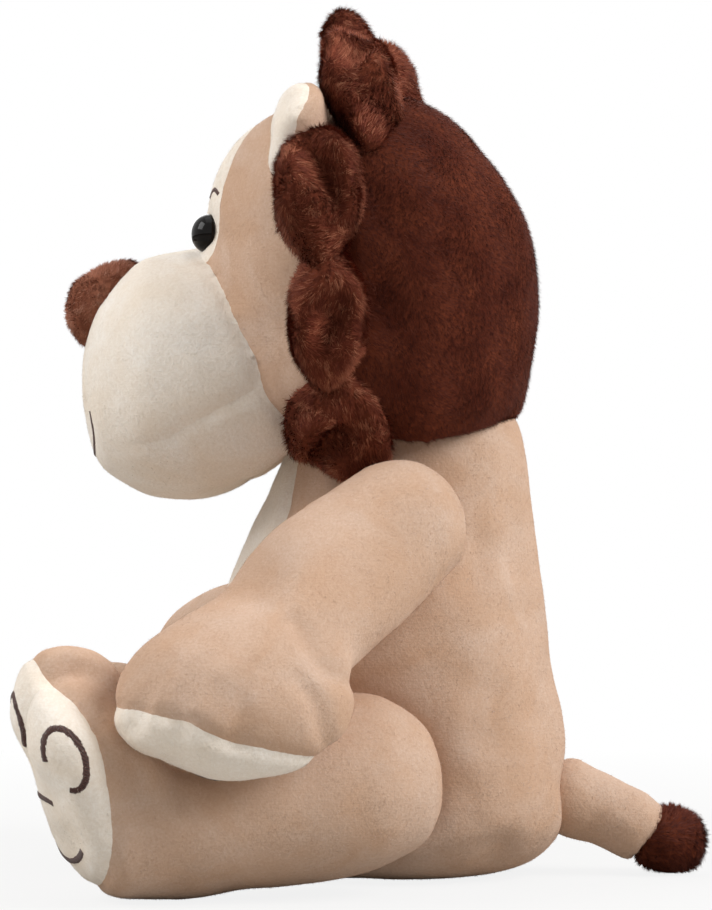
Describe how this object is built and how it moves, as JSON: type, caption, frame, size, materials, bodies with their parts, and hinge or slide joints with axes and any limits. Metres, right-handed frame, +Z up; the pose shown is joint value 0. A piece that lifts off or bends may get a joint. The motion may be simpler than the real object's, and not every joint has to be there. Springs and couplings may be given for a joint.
{
  "type": "plush lion",
  "caption": "Seated plush lion: stuffed cloth torso, limbs that swing at sewn seams, head that turns and nods, ruffled mane, folding ears and a wagging tufted tail",
  "frame": {"origin": "middle of the seat, on the surface the lion sits on", "axes": "+Z up, -Y the way the lion faces, +X its left side"},
  "size_m": [0.2374, 0.2085, 0.277],
  "materials": {
    "beige_plush": "short soft plush pile, matt with a pale sheen at the edges",
    "cream_plush": "short smooth plush pile, matt",
    "brown_plush": "longer plush pile, matt, brushed",
    "nose_plush": "short plush pile, matt",
    "eye_black": "moulded, glossy",
    "washer_plastic": "moulded, plain",
    "stuffing": "loose polyester fibre"
  },
  "bodies": {
    "torso": {"torso_panel_left": "beige_plush", "torso_panel_right": "beige_plush", "belly_panel": "cream_plush", "torso_stuffing": "stuffing"},
    "neck": {"neck_stuffing": "stuffing"},
    "head": {"head_back_left": "brown_plush", "head_back_right": "brown_plush", "face_panel_left": "beige_plush", "face_panel_right": "beige_plush", "forehead_panel": "cream_plush", "head_stuffing": "stuffing", "muzzle_panel": "cream_plush", "chin_panel": "cream_plush", "muzzle_stuffing": "stuffing", "nose": "nose_plush", "eye_left": "eye_black", "eye_right": "eye_black", "eye_washer_left": "washer_plastic", "eye_washer_right": "washer_plastic", "mane_lobe_1": "brown_plush", "mane_lobe_2": "brown_plush", "mane_lobe_3": "brown_plush", "mane_lobe_4": "brown_plush", "mane_lobe_5": "brown_plush", "mane_lobe_6": "brown_plush", "mane_lobe_7": "brown_plush", "mane_lobe_8": "brown_plush", "mane_lobe_9": "brown_plush"},
    "ear_left": {"ear_left_inner": "cream_plush", "ear_left_back": "beige_plush"},
    "ear_right": {"ear_right_inner": "cream_plush", "ear_right_back": "beige_plush"},
    "arm_left": {"arm_left_cover": "beige_plush", "arm_left_palm": "cream_plush", "arm_left_stuffing": "stuffing"},
    "arm_right": {"arm_right_cover": "beige_plush", "arm_right_palm": "cream_plush", "arm_right_stuffing": "stuffing"},
    "leg_left": {"leg_left_cover": "beige_plush", "leg_left_sole": "cream_plush", "leg_left_stuffing": "stuffing"},
    "leg_right": {"leg_right_cover": "beige_plush", "leg_right_sole": "cream_plush", "leg_right_stuffing": "stuffing"},
    "tail": {"tail_cover": "beige_plush", "tail_stuffing": "stuffing", "tail_tuft": "brown_plush"}
  },
  "joints": [
    {"name": "head_turn", "type": "hinge", "parent": "torso", "child": "neck", "pos_m": [0, 0, 0.1], "axis": [0, 0, 1], "range_deg": [-12, 12], "stiffness_Nm_per_rad": 2},
    {"name": "head_nod", "type": "hinge", "parent": "neck", "child": "head", "pos_m": [0, 0, 0.1], "axis": [1, 0, 0], "range_deg": [-8, 6], "stiffness_Nm_per_rad": 4},
    {"name": "arm_left_swing", "type": "hinge", "parent": "torso", "child": "arm_left", "pos_m": [0.038, -0.004, 0.107], "axis": [-0.9703, 0, -0.2419], "range_deg": [-2, 36], "stiffness_Nm_per_rad": 0.6},
    {"name": "arm_right_swing", "type": "hinge", "parent": "torso", "child": "arm_right", "pos_m": [-0.038, -0.004, 0.107], "axis": [-0.9703, 0, 0.2419], "range_deg": [-2, 36], "stiffness_Nm_per_rad": 0.6},
    {"name": "leg_left_swing", "type": "hinge", "parent": "torso", "child": "leg_left", "pos_m": [0.038, -0.02, 0.031], "axis": [1, 0, 0], "range_deg": [-3, 25], "stiffness_Nm_per_rad": 1},
    {"name": "leg_right_swing", "type": "hinge", "parent": "torso", "child": "leg_right", "pos_m": [-0.038, -0.02, 0.031], "axis": [1, 0, 0], "range_deg": [-3, 25], "stiffness_Nm_per_rad": 1},
    {"name": "tail_wag", "type": "hinge", "parent": "torso", "child": "tail", "pos_m": [0, 0.0535, 0.024], "axis": [0, 0, 1], "range_deg": [-30, 30], "stiffness_Nm_per_rad": 0.05},
    {"name": "ear_left_fold", "type": "hinge", "parent": "head", "child": "ear_left", "pos_m": [0.04714, -0.036, 0.22995], "axis": [0.6691, 0, -0.7431], "range_deg": [0, 25], "stiffness_Nm_per_rad": 0.02},
    {"name": "ear_right_fold", "type": "hinge", "parent": "head", "child": "ear_right", "pos_m": [-0.04714, -0.036, 0.22995], "axis": [0.6691, 0, 0.7431], "range_deg": [0, 25], "stiffness_Nm_per_rad": 0.02}
  ]
}
